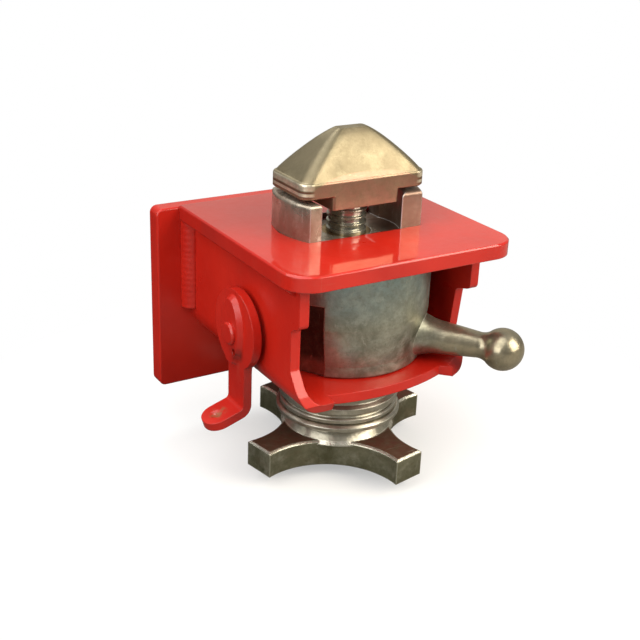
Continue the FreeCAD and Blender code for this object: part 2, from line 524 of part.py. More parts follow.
# Washers: one sits in the ring's groove, the dished one travels with the nut.
turned("ring_washer", [
    ("Sizes.shaft_radius + Sizes.run_gap", "-Sizes.ring_bottom"),
    ("Sizes.shaft_radius + Sizes.run_gap", "-(%s + Sizes.washer_thickness)" % washer_top),
    ("Sizes.washer_radius - 1", "-(%s + Sizes.washer_thickness)" % washer_top),
    ("Sizes.washer_radius", "-(%s + Sizes.washer_thickness - 1)" % washer_top),
    ("Sizes.washer_radius", "-(%s + 1)" % washer_top), ("Sizes.washer_radius - 1", "-" + washer_top),
    ("Sizes.washer_radius - 3", "-" + washer_top), ("Sizes.washer_radius - 3", "-Sizes.ring_bottom")])
turned("dished_washer", [
    ("Sizes.shaft_radius + Sizes.run_gap", "-" + dish_top),
    ("Sizes.shaft_radius + Sizes.run_gap", "-(%s + Sizes.dish_thickness)" % dish_top),
    ("Sizes.dish_radius - 2.5", "-(%s + Sizes.dish_thickness)" % dish_top),
    ("Sizes.dish_radius", "-(%s + Sizes.dish_thickness - 2)" % dish_top),
    ("Sizes.dish_radius", "-(%s + 1.8)" % dish_top), ("Sizes.dish_radius - 1.8", "-" + dish_top)])

# Star nut, built with an arm along X and then turned: the flanks between the square arm ends are scooped
# by one large arc each, and the crown rises to the dished washer.
body = new_body("star_nut")
body.Placement = FreeCAD.Placement(FreeCAD.Vector(0, 0, 0), FreeCAD.Rotation(Z_AXIS, 1))
body.setExpression(".Placement.Rotation.Angle", "Sizes.nut_turn")
reach = "Sizes.nut_reach"
half = "Sizes.nut_arm / 2"
sketch = new_sketch(body, "XY_Plane", "-" + nut_foot, name="Blank")
outline(sketch, [(reach, "-" + half), (reach, half), (half, reach), ("-" + half, reach), ("-" + reach, half),
                 ("-" + reach, "-" + half), ("-" + half, "-" + reach), (half, "-" + reach)])
extrude(body, sketch, "Sizes.nut_thickness")
scoop_at = "((Sizes.nut_reach^2 + (Sizes.nut_arm / 2)^2 - Sizes.nut_waist^2)" \
           " / (2 * ((Sizes.nut_reach + Sizes.nut_arm / 2) / sqrt(2) - Sizes.nut_waist)))"
sketch = new_sketch(body, "XY_Plane", "-" + nut_top, name="Scoop")
circle(sketch, scoop_at + " - Sizes.nut_waist", scoop_at + " / sqrt(2)", scoop_at + " / sqrt(2)")
scoop = extrude(body, sketch, "Sizes.nut_thickness", "Pocket", name="ScoopCut")
star = repeat(body, scoop, "Z_Axis", count=4, polar=True)
face_top = size("-" + nut_top)
star = dress(body, star, lambda e: level(e, face_top), "Sizes.nut_break", "Chamfer")
sketch = new_sketch(body, "XZ_Plane", name="Crown")
outline(sketch, [("0", "-" + crown_top), ("0", "-(%s + 3)" % nut_top),
                 ("Sizes.nut_crown", "-(%s + 3)" % nut_top), ("Sizes.nut_crown - 3", "-(%s - 1)" % nut_top),
                 ("Sizes.nut_crown - 7", "-(%s + 4)" % crown_top), ("Sizes.nut_crown - 9", "-" + crown_top)])
spin(body, sketch)
sketch = new_sketch(body, "XY_Plane", name="NutBore")
circle(sketch, "Sizes.shaft_radius + Sizes.run_gap")
extrude(body, sketch, shaft_end, "Pocket", name="BoreCut")
sketch = new_sketch(body, "XZ_Plane", name="Mouth")
outline(sketch, [("0", "-" + nut_foot), ("Sizes.end_washer_radius + 7", "-" + nut_foot),
                 ("Sizes.end_washer_radius + 3", "-(%s - Sizes.nut_mouth)" % nut_foot),
                 ("0", "-(%s - Sizes.nut_mouth)" % nut_foot)])
spin(body, sketch, kind="Groove")

# End washer and retaining clip that keep the nut on the bolt.
clip_seat = "(%s - Sizes.clip_thickness)" % clip_foot
turned("end_washer", [
    ("Sizes.shaft_radius + Sizes.run_gap", "-" + clip_seat),
    ("Sizes.end_washer_radius", "-" + clip_seat),
    ("Sizes.end_washer_radius", "-(%s - Sizes.end_washer_thickness)" % clip_seat),
    ("Sizes.shaft_radius + Sizes.run_gap", "-(%s - Sizes.end_washer_thickness)" % clip_seat)])
body = new_body("retaining_clip")
sketch = new_sketch(body, "XY_Plane", "-" + clip_foot)
circle(sketch, "Sizes.shaft_radius + 4")
circle(sketch, "Sizes.shaft_radius - Sizes.clip_depth + Sizes.run_gap")
extrude(body, sketch, "Sizes.clip_thickness")
sketch = new_sketch(body, "XY_Plane", "-%s - 1" % clip_foot, name="ClipGap")
outline(sketch, [("-4", "Sizes.shaft_radius - 6"), ("4", "Sizes.shaft_radius - 6"),
                 ("6", "Sizes.shaft_radius + 6"), ("-6", "Sizes.shaft_radius + 6")])
extrude(body, sketch, "Sizes.clip_thickness + 2", "Pocket", reverse=True, name="GapCut")

# Catch lever: a round eye, a hanging arm that bends outward into a finger tab, and a raised oval boss.
lever_back = "(Sizes.channel_width / 2 + Sizes.spacer_thickness + 2 * Sizes.flat_gap)"
lever_face = "(%s + Sizes.lever_thickness)" % lever_back
front = "Sizes.arm_y - Sizes.arm_width / 2"
rear = "Sizes.arm_y + Sizes.arm_width / 2"
shoulder = "Sizes.lever_z - Sizes.shoulder_drop"
body = new_body("safety_lever")
sketch = new_sketch(body, "YZ_Plane", "-" + lever_back, name="Eye")
circle(sketch, "Sizes.eye_radius", "Sizes.lever_y + 1", "Sizes.lever_z + Sizes.eye_rise")
extrude(body, sketch, "Sizes.lever_thickness", reverse=True)
sketch = new_sketch(body, "YZ_Plane", "-" + lever_back, name="Shoulder")
outline(sketch, [(front + " - 8", "Sizes.lever_z - 6"), (front, shoulder + " - 10", "52", "cw"),
                 (rear, shoulder + " - 10"), (rear + " + 5", "Sizes.lever_z - 6", "60", "cw")])
extrude(body, sketch, "Sizes.lever_thickness", reverse=True)
sketch = new_sketch(body, "XZ_Plane", "-(%s)" % rear, name="ArmSide")
bend_x = "(%s + Sizes.arm_bend)" % lever_face
across = "sin(Sizes.tab_angle)"
down = "cos(Sizes.tab_angle)"
inside_r = "Sizes.arm_bend"
outside_r = "(Sizes.arm_bend + Sizes.lever_thickness)"
outline(sketch, [
    ("-" + lever_face, shoulder), ("-" + lever_face, "-Sizes.arm_bottom"),
    ("-(%s - %s * %s)" % (bend_x, inside_r, down), "-(Sizes.arm_bottom + %s * %s)" % (inside_r, across),
     inside_r, "cw"),
    ("-(%s - %s * %s + Sizes.tab_reach * %s)" % (bend_x, inside_r, down, across),
     "-(Sizes.arm_bottom + %s * %s + Sizes.tab_reach * %s)" % (inside_r, across, down)),
    ("-(%s - %s * %s + Sizes.tab_reach * %s)" % (bend_x, outside_r, down, across),
     "-(Sizes.arm_bottom + %s * %s + Sizes.tab_reach * %s)" % (outside_r, across, down)),
    ("-(%s - %s * %s)" % (bend_x, outside_r, down), "-(Sizes.arm_bottom + %s * %s)" % (outside_r, across)),
    ("-" + lever_back, "-Sizes.arm_bottom", outside_r, "ccw"), ("-" + lever_back, shoulder)])
arm = extrude(body, sketch, "Sizes.arm_width")
tip_x = -size("%s - %s * %s + Sizes.tab_reach * %s" % (bend_x, outside_r, down, across))
arm = dress(body, arm, lambda e: e.BoundBox.XMin < tip_x + 6 and not along(e, Y_AXIS)
            and e.Length < size("Sizes.lever_thickness") + 0.1, "Sizes.arm_width / 2 - 0.4")
sections = []
for depth, inset in (("0", "0"), ("Sizes.boss_height", "Sizes.boss_draft")):
    sketch = new_sketch(body, "YZ_Plane", "-(%s + %s)" % (lever_face, depth), name="Boss")
    a = "(Sizes.boss_width / 2 - %s)" % inset
    b = "(Sizes.boss_length / 2 - %s)" % inset
    tip = "(Sizes.boss_tip - %s)" % inset
    flank = "((%s^2 + (%s - %s)^2 - %s^2) / (2 * (%s - %s)))" % (a, b, tip, tip, a, tip)
    join_y = "((%s - %s) * %s / (%s - %s))" % (flank, a, tip, flank, tip)
    join_z = "(%s * (%s - %s) / (%s - %s))" % (flank, b, tip, flank, tip)
    y = "(Sizes.lever_y + Sizes.eye_rise)"
    z = "(Sizes.lever_z + 1)"
    outline(sketch, [("%s + %s" % (y, join_y), "%s + %s" % (z, join_z), flank, "ccw"),
                     ("%s - %s" % (y, join_y), "%s + %s" % (z, join_z), tip, "ccw"),
                     ("%s - %s" % (y, join_y), "%s - %s" % (z, join_z), flank, "ccw"),
                     ("%s + %s" % (y, join_y), "%s - %s" % (z, join_z), tip, "ccw")])
    sections.append(sketch)
doc.recompute()
boss = body.newObject("PartDesign::AdditiveLoft", "OvalBoss")
boss.Profile = sections[0]
boss.Sections = sections[1:]
boss.Ruled = True
doc.recompute()
far = "(%s + Sizes.boss_height + 1)" % lever_face
sketch = new_sketch(body, "YZ_Plane", "-" + far, name="LeverBore")
circle(sketch, "Sizes.pin_radius + Sizes.seat_gap", "Sizes.lever_y", "Sizes.lever_z")
circle(sketch, "Sizes.drain_radius", "Sizes.lever_y - 6", "Sizes.lever_z - 14")
extrude(body, sketch, "Sizes.lever_thickness + Sizes.boss_height + 2", "Pocket", reverse=True, name="BoreCut")
dimple = body.newObject("PartDesign::SubtractiveSphere", "Dimple")
dimple.setExpression("Radius", "Sizes.dimple_radius")
reach = "(Sizes.tab_reach - Sizes.arm_width / 2 + 1)"
lift = "(Sizes.dimple_radius - Sizes.dimple_depth)"
dimple.MapMode = "ObjectXY"
dimple.AttachmentSupport = [([f for f in body.Origin.OriginFeatures if f.Role == "XY_Plane"][0], "")]
dimple.setExpression(".AttachmentOffset.Base.x", "-(%s - (%s - %s) * %s + %s * %s)" % (
    bend_x, inside_r, lift, down, reach, across))
dimple.setExpression(".AttachmentOffset.Base.y", "Sizes.arm_y")
dimple.setExpression(".AttachmentOffset.Base.z", "-(Sizes.arm_bottom + (%s - %s) * %s + %s * %s)" % (
    inside_r, lift, across, reach, down))
doc.recompute()

# Lever pivot: pin, wall bush and outer spacer, with the pawl and its circlip inside the wall.
wall_in = "(Sizes.channel_width / 2 - Sizes.channel_wall)"
pawl_far = "(%s - Sizes.flat_gap - Sizes.pawl_thickness)" % wall_in
bore = "Sizes.pin_radius + Sizes.run_gap"
turned_on_pivot("pivot_bush", [
    ("-" + outer, bore), ("-" + wall_in, bore), ("-" + wall_in, "Sizes.pin_radius + Sizes.pivot_wall"),
    ("-" + outer, "Sizes.pin_radius + Sizes.pivot_wall")])
turned_on_pivot("lever_spacer", [
    ("-(%s - Sizes.flat_gap)" % lever_back, bore), ("-(%s + Sizes.flat_gap)" % outer, bore),
    ("-(%s + Sizes.flat_gap)" % outer, "Sizes.spacer_radius"),
    ("-(%s - Sizes.flat_gap)" % lever_back, "Sizes.spacer_radius")])
ring_far = "(%s - 0.3)" % pawl_far
pin_face = "(%s + Sizes.boss_height)" % lever_face
turned_on_pivot("pivot_pin", [
    ("-(%s + 3)" % pin_face, "0"), ("-(%s - 3)" % ring_far, "0"),
    ("-(%s - 3)" % ring_far, "Sizes.pin_radius - 1"), ("-(%s - 2)" % ring_far, "Sizes.pin_radius"),
    ("-(%s - Sizes.circlip_thickness - 0.1)" % ring_far, "Sizes.pin_radius"),
    ("-(%s - Sizes.circlip_thickness - 0.1)" % ring_far, "Sizes.pin_radius - Sizes.pin_groove"),
    ("-" + ring_far, "Sizes.pin_radius - Sizes.pin_groove"), ("-" + ring_far, "Sizes.pin_radius"),
    ("-(%s + 1.5)" % pin_face, "Sizes.pin_radius"),
    ("-(%s + 3)" % pin_face, "Sizes.pin_radius - 1.5")])
ring_seat = "Sizes.pin_radius - Sizes.pin_groove + Sizes.seat_gap"
turned_on_pivot("pivot_circlip", [
    ("-(%s - 0.05)" % ring_far, ring_seat), ("-(%s - Sizes.circlip_thickness - 0.05)" % ring_far, ring_seat),
    ("-(%s - Sizes.circlip_thickness - 0.05)" % ring_far, "Sizes.pin_radius + 3"),
    ("-(%s - 0.05)" % ring_far, "Sizes.pin_radius + 3")])
body = new_body("catch_pawl")
sketch = new_sketch(body, "YZ_Plane", "-(%s - Sizes.flat_gap)" % wall_in)
y = "Sizes.lever_y"
z = "Sizes.lever_z"
outline(sketch, [("%s - Sizes.pawl_tip" % y, "%s + Sizes.pawl_length" % z),
                 ("%s - Sizes.pawl_eye * 0.96" % y, "%s + Sizes.pawl_eye * 0.28" % z),
                 ("%s + Sizes.pawl_eye * 0.96" % y, "%s + Sizes.pawl_eye * 0.28" % z, "Sizes.pawl_eye",
                  "ccw long"),
                 ("%s + Sizes.pawl_tip" % y, "%s + Sizes.pawl_length" % z)])
pawl = extrude(body, sketch, "Sizes.pawl_thickness")
nose = size("Sizes.lever_z + Sizes.pawl_length")
dress(body, pawl, lambda e: along(e, X_AXIS) and abs(e.CenterOfMass.z - nose) < 0.01, "Sizes.pawl_tip * 0.6")
sketch = new_sketch(body, "YZ_Plane", name="PawlBore")
circle(sketch, "Sizes.pin_radius + Sizes.seat_gap", y, z)
extrude(body, sketch, "Sizes.channel_width", "Pocket", name="BoreCut")

doc.removeObject(probe.Name)
doc.recompute()
for item in doc.Objects:
    if "Invalid" in item.State or "Error" in item.State:
        raise RuntimeError("feature not built: %s of %s" % (item.Label, [p.Label for p in item.InList]))
for item in pieces:
    shape = item.Shape
    if shape.isNull() or not shape.isValid() or len(shape.Solids) != 1:
        raise RuntimeError("bad solid: %s" % item.Label)
for item in pieces:
    item.Shape.exportStep("parts/%s.step" % item.Label)
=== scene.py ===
import bpy
import math
from mathutils import Matrix, Vector


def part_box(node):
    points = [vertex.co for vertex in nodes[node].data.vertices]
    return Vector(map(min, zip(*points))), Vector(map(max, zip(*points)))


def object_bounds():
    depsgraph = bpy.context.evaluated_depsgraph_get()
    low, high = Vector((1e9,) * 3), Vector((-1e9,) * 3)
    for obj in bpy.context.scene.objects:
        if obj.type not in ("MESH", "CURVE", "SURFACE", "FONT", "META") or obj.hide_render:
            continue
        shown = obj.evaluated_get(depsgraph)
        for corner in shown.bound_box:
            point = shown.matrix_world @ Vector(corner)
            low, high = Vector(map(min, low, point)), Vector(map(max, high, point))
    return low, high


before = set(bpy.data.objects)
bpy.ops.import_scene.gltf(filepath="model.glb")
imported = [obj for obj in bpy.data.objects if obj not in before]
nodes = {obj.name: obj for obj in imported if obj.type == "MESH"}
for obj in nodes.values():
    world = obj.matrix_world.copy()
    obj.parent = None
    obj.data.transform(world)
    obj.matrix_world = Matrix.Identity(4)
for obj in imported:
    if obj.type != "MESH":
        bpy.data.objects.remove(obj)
first_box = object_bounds()
scene = bpy.context.scene

# Driving places, in metres. The twist axis is x = y = 0 and the upper face of the top plate is z = 0.
collar_half_length, collar_half_width, cheek_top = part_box("shear_block")[1]
plate_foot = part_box("top_plate")[0].z
bolt_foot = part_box("twist_bolt")[0].z
head_half_length, _, head_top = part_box("twist_bolt")[1]
head_height, rim_height, hub_height = 0.0465, 0.0130, 0.0100
rim_foot = head_top - head_height
rim_top = rim_foot + rim_height
hub_foot = rim_foot - hub_height
neck_flare = 0.018
drum_radius = -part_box("handle_body")[0].x
drum_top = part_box("handle_body")[1].z
nut_crown_height = 0.0104
nut_arm_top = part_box("star_nut")[1].z - nut_crown_height
thread_length = 0.036
thread_top = bolt_foot + thread_length
thread_lead = 0.006
thread_starts = 2
lever_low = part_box("safety_lever")[0]
pin_low, pin_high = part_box("pivot_pin")
pin_centre = (pin_low + pin_high) / 2
pin_head = Vector((pin_low.x, pin_centre.y, pin_centre.z))


# Shader node helpers
class Graph:
    """Adds shader nodes to a material or world. A value is a number, a colour or a (node, output) pair."""

    def __init__(self, owner):
        owner.use_nodes = True
        self.tree = owner.node_tree
        self.tree.nodes.clear()

    def add(self, kind, **settings):
        """New node with these settings."""
        node = self.tree.nodes.new(kind)
        for key, value in settings.items():
            setattr(node, key, value)
        return node

    def put(self, node, socket, value):
        """Links a (node, output) pair to the socket, or sets the socket to a number or vector."""
        if isinstance(value, tuple) and isinstance(value[0], bpy.types.Node):
            self.tree.links.new(value[0].outputs[value[1]], node.inputs[socket])
        else:
            node.inputs[socket].default_value = value

    def math(self, operation, a, b=None):
        """Result of a Math node."""
        node = self.add("ShaderNodeMath", operation=operation)
        self.put(node, 0, a)
        if b is not None:
            self.put(node, 1, b)
        return node, 0

    def dot(self, coords, direction):
        """How far the coordinates reach along a direction."""
        node = self.add("ShaderNodeVectorMath", operation="DOT_PRODUCT")
        self.put(node, 0, coords)
        self.put(node, 1, direction)
        return node, "Value"

    def noise(self, coords, scale, detail=6.0, rough=0.55, warp=0.0, stretch=None):
        """Cloudy noise of that scale per metre, drawn out where stretch says."""
        if stretch:
            mapping = self.add("ShaderNodeMapping")
            self.put(mapping, "Scale", stretch)
            self.put(mapping, "Vector", coords)
            coords = (mapping, "Vector")
        node = self.add("ShaderNodeTexNoise")
        self.put(node, "Vector", coords)
        self.put(node, "Scale", scale)
        self.put(node, "Detail", detail)
        self.put(node, "Roughness", rough)
        self.put(node, "Distortion", warp)
        return node, 0

    def ramp(self, factor, stops):
        """Colour ramp through (place, colour) stops."""
        node = self.add("ShaderNodeValToRGB")
        self.put(node, 0, factor)
        ramp = node.color_ramp
        while len(ramp.elements) < len(stops):
            ramp.elements.new(0.5)
        for element, (place, colour) in zip(ramp.elements, stops):
            element.position = place
            element.color = (*colour, 1.0)
        return node, 0

    def step(self, factor, low, high, to_low=0.0, to_high=1.0):
        """Goes from to_low to to_high while the factor goes from low to high, and stays level outside."""
        node = self.add("ShaderNodeMapRange", clamp=True)
        for socket, value in enumerate((factor, low, high, to_low, to_high)):
            self.put(node, socket, value)
        return node, 0

    def mix(self, factor, a, b):
        """Colour between a and b. Sockets 6 and 7 and output 2 of the Mix node are the ones for colours."""
        node = self.add("ShaderNodeMix", data_type="RGBA")
        self.put(node, 0, factor)
        for socket, colour in ((6, a), (7, b)):
            self.put(node, socket, colour if isinstance(colour[0], bpy.types.Node) else (*colour, 1.0))
        return node, 2

    def between(self, factor, a, b):
        """Number between a and b. Sockets 2 and 3 and output 0 of the Mix node are the ones for numbers."""
        node = self.add("ShaderNodeMix", data_type="FLOAT")
        for socket, value in ((0, factor), (2, a), (3, b)):
            self.put(node, socket, value)
        return node, 0

    def bump(self, height, strength, distance, normal=None):
        """Normal tilted by a height, on top of another normal."""
        node = self.add("ShaderNodeBump")
        self.put(node, "Strength", strength)
        self.put(node, "Distance", distance)
        self.put(node, "Height", height)
        if normal:
            self.put(node, "Normal", normal)
        return node, 0

    def split(self, coords):
        """X, Y and Z of the coordinates."""
        node = self.add("ShaderNodeSeparateXYZ")
        self.put(node, 0, coords)
        return (node, "X"), (node, "Y"), (node, "Z")

    def hypotenuse(self, a, b):
        """Length of a line that reaches a one way and b across it."""
        return self.math("SQRT", self.math("ADD", self.math("MULTIPLY", a, a), self.math("MULTIPLY", b, b)))

    def reach(self, coords):
        """Distance from the twist axis."""
        x, y, _ = self.split(coords)
        return self.hypotenuse(x, y)

    def band(self, value, low, high, soft):
        """One between low and high, with soft ends."""
        return self.overlap(self.step(value, low - soft, low), self.step(value, high, high + soft, 1.0, 0.0))

    def overlap(self, *masks):
        """Where all the masks are: their product."""
        result = masks[0]
        for mask in masks[1:]:
            result = self.math("MULTIPLY", result, mask)
        return result

    def facing_up(self):
        """Height of the true normal: 1 on level faces that look up."""
        geometry = self.add("ShaderNodeNewGeometry")
        return self.split((geometry, "True Normal"))[2]

    def spot(self, coords, centre, radius):
        """Soft round spot about a point of the object, full up to half its radius."""
        gap = self.add("ShaderNodeVectorMath", operation="DISTANCE")
        self.put(gap, 0, coords)
        self.put(gap, 1, centre)
        return self.step((gap, "Value"), radius, radius * 0.5)

    def edges(self, radius):
        """Mask of worn edges, where a normal rounded over radius leaves the true one, and that normal."""
        bevel = self.add("ShaderNodeBevel", samples=6)
        self.put(bevel, "Radius", radius)
        geometry = self.add("ShaderNodeNewGeometry")
        agreement = self.dot((bevel, 0), (geometry, "Normal"))
        unworn, bare = 0.995, 0.86
        return self.step(agreement, unworn, bare), (bevel, 0)


def base(name):
    """New material with object coordinates and one principled shader."""
    material = bpy.data.materials.new(name)
    graph = Graph(material)
    place = graph.add("ShaderNodeTexCoord")
    shader = graph.add("ShaderNodeBsdfPrincipled")
    output = graph.add("ShaderNodeOutputMaterial")
    graph.put(output, "Surface", (shader, 0))
    return material, graph, (place, "Object"), shader


# Materials
def red_paint(name, gloss, coat=1.0, marks=None, ripple=None):
    """Thick glossy paint: slight sag and orange peel, dust in patches, fine scuffs, rubbed edges.

    gloss is the roughness of the clear coat. marks adds worn places, darker places and painted shade, each a
    mask and a colour.
    ripple is the direction of a weld bead, whose ripples cross it."""
    material, g, place, shader = base(name)
    deep, lit = (0.46, 0.012, 0.006), (0.61, 0.021, 0.010)
    colour = g.mix(g.step(g.noise(place, 11.0, detail=4.0, rough=0.5), 0.35, 0.68), deep, lit)
    dust = g.step(g.noise(place, 34.0, detail=9.0, rough=0.68, warp=0.4), 0.55, 0.78, 0.0, 0.14)
    colour = g.mix(dust, colour, (0.40, 0.075, 0.05))
    level_lines, upright_lines = (1.0, 9.0, 34.0), (30.0, 2.0, 1.0)
    for lines in (level_lines, upright_lines):
        rubbed = g.step(g.noise(place, 9.0, detail=7.0, rough=0.72, stretch=lines), 0.60, 0.68)
        patches = g.step(g.noise(place, 17.0, detail=4.0, rough=0.6), 0.50, 0.66, 0.0, 0.30)
        colour = g.mix(g.overlap(rubbed, patches), colour, (0.45, 0.095, 0.065))
    worn, soft = g.edges(0.0011)
    chip = g.overlap(worn, g.step(g.noise(place, 120.0, detail=8.0, rough=0.6), 0.50, 0.64), 0.55)
    colour = g.mix(chip, colour, (0.30, 0.045, 0.03))
    for mask, tone in marks(g, place) if marks else ():
        colour = g.mix(mask, colour, tone)
    g.put(shader, "Base Color", colour)
    g.put(shader, "Roughness", g.step(g.noise(place, 46.0, detail=7.0, rough=0.6), 0.3, 0.75, 0.26, 0.46))
    g.put(shader, "Coat Weight", coat)
    g.put(shader, "Coat Roughness", gloss)
    g.put(shader, "Coat IOR", 1.52)
    g.put(shader, "Specular IOR Level", 0.08)
    peel = g.bump(g.noise(place, 420.0, detail=3.0, rough=0.5), 0.10, 0.0006, soft)
    sag = g.bump(g.noise(place, 38.0, detail=3.0, rough=0.5), 0.22, 0.0020, peel)
    gleam = g.bump(g.noise(place, 30.0, detail=2.0, rough=0.5), 0.10, 0.0015, soft)
    if ripple:
        wave = bead_wave(g, place, ripple)
        sag = g.bump(wave, 0.10, 0.0008, sag)
        gleam = g.bump(wave, 0.10, 0.0008, gleam)
    g.put(shader, "Normal", sag)
    g.put(shader, "Coat Normal", gleam)
    return material


def bead_wave(g, place, direction):
    """Uneven ripples across a weld bead, about 5 mm apart."""
    radians_per_metre, unevenness = 1250.0, 9.0
    wobble = g.math("MULTIPLY", g.noise(place, 60.0, detail=4.0), unevenness)
    phase = g.math("MULTIPLY", g.dot(place, direction), radians_per_metre)
    return g.math("SINE", g.math("ADD", phase, wobble))


def plate_marks(g, place):
    """Painted shade: darker paint towards the back, where less light falls, and a thin line of painted
    contact shade with patches round the collar, whose ends are half circles.
    """
    x, y, _ = g.split(place)
    round_start = collar_half_length - collar_half_width
    past = g.math("MAXIMUM", g.math("SUBTRACT", g.math("ABSOLUTE", x), round_start), 0.0)
    gap = g.math("SUBTRACT", g.hypotenuse(past, y), collar_half_width)
    # Painted contact shade where the plate meets the collar: a thin speckled dark line and darker patches
    # just outside it.
    shade_speckle = g.step(g.noise(place, 130.0, detail=5.0), 0.40, 0.60, 0.45, 1.0)
    seam = g.overlap(g.band(gap, -0.0010, 0.0009, 0.0006), shade_speckle)
    patches = g.step(g.noise(place, 46.0, rough=0.7), 0.55, 0.66)
    shade_patches = g.overlap(g.band(gap, -0.0010, 0.0026, 0.0012), patches)
    # Painted shade: the paint darkens towards the back, where less light falls.
    shade_start, shade_end = -0.035, 0.035
    painted_back_shade = g.step(y, shade_start, shade_end, 0.0, 0.60)
    return (painted_back_shade, (0.33, 0.012, 0.008)), (seam, (0.035, 0.010, 0.006)), (shade_patches, (0.05, 0.014, 0.008))


def lever_marks(g, place):
    """Bare worn metal where a thumb presses the tab, and a darker spot at the foot of the boss."""
    tab = (lever_low.x + 0.0135, pin_head.y - 0.003, lever_low.z + 0.0103)
    boss_foot = (pin_head.x + 0.0076, pin_head.y - 0.006, pin_head.z - 0.016)
    thumb = g.overlap(g.spot(place, tab, 0.0085), g.step(g.noise(place, 150.0), 0.40, 0.60))
    darker_spot = g.overlap(g.spot(place, boss_foot, 0.0100), g.step(g.noise(place, 90.0), 0.35, 0.65))
    return (thumb, (0.22, 0.15, 0.07)), (darker_spot, (0.16, 0.010, 0.006))


def steel(name, dark, mid, pale, tint, metal, rough, grain=240.0, dents=0.35, lines=None, zones=None,
          rub=0.0012, thread=False):
    """Worn plated steel: blotches of three tones, a rusty or bluish tint, specks, scratches, bright worn
    edges that also serve as painted highlights.

    rough is the range of roughness, grain the fineness of the skin, dents the depth of its dents and rub
    the width of the bright edges. zones gives places with another finish and places with painted light,
    each a mask, a colour, how much of it shows and a roughness."""
    material, g, place, shader = base(name)
    blotch = g.noise(place, 26.0, detail=8.0, rough=0.62, warp=0.6)
    colour = g.mix(g.step(blotch, 0.32, 0.58), dark, mid)
    light = g.noise(place, 58.0, detail=9.0, rough=0.66, warp=0.3)
    colour = g.mix(g.step(light, 0.50, 0.74), colour, pale)
    stain = g.noise(place, 15.0, detail=7.0, rough=0.6, warp=1.2)
    colour = g.mix(g.step(stain, 0.52, 0.72, 0.0, 0.65), colour, tint)
    scuff = g.noise(place, 34.0, detail=9.0, rough=0.68, warp=0.5)
    roughness = g.step(scuff, 0.30, 0.72, *rough)
    for mask, tone, share, smooth in zones(g, place) if zones else ():
        colour = g.mix(g.math("MULTIPLY", mask, share), colour, tone)
        roughness = g.between(mask, roughness, smooth)
    mottle = g.noise(place, 150.0, detail=7.0, rough=0.72)
    colour = g.mix(g.step(mottle, 0.42, 0.66, 0.0, 0.42), colour, dark)
    specks = g.noise(place, 520.0, detail=4.0, rough=0.6)
    colour = g.mix(g.step(specks, 0.58, 0.70, 0.0, 0.40), colour, dark)
    scratch = g.noise(place, 14.0, rough=0.75, stretch=(2.0, 26.0, 5.0))
    colour = g.mix(g.step(scratch, 0.62, 0.68, 0.0, 0.45), colour, pale)
    # Bright worn edges: bare metal, and also a painted highlight on the edges.
    worn, soft = g.edges(rub)
    bare = tuple(min(1.0, part * 1.35 + 0.08) for part in pale)
    colour = g.mix(g.math("MULTIPLY", worn, 0.75), colour, bare)
    g.put(shader, "Base Color", colour)
    g.put(shader, "Metallic", metal)
    g.put(shader, "Roughness", roughness)
    skin = g.bump(g.noise(place, grain, rough=0.6), 0.16, 0.0008, soft)
    normal = g.bump(g.noise(place, 48.0, detail=5.0), dents, 0.0022, skin)
    if lines:
        streak = g.noise(place, 3.0, detail=5.0, rough=0.7, stretch=lines)
        normal = g.bump(streak, 0.22, 0.0006, normal)
    if thread:
        normal = g.bump(thread_ridge(g, place), 1.0, 0.0012, normal)
    g.put(shader, "Normal", normal)
    return material


def thread_ridge(g, place):
    """Thread on the free end of the bolt: its lead is the nut's travel in one turn."""
    x, y, z = g.split(place)
    angle = g.math("MULTIPLY", g.math("ARCTAN2", y, x), float(thread_starts))
    height = g.math("MULTIPLY", z, 2.0 * math.pi * thread_starts / thread_lead)
    ridge = g.math("SINE", g.math("SUBTRACT", height, angle))
    return g.overlap(ridge, g.step(z, thread_top, thread_top - 0.002))


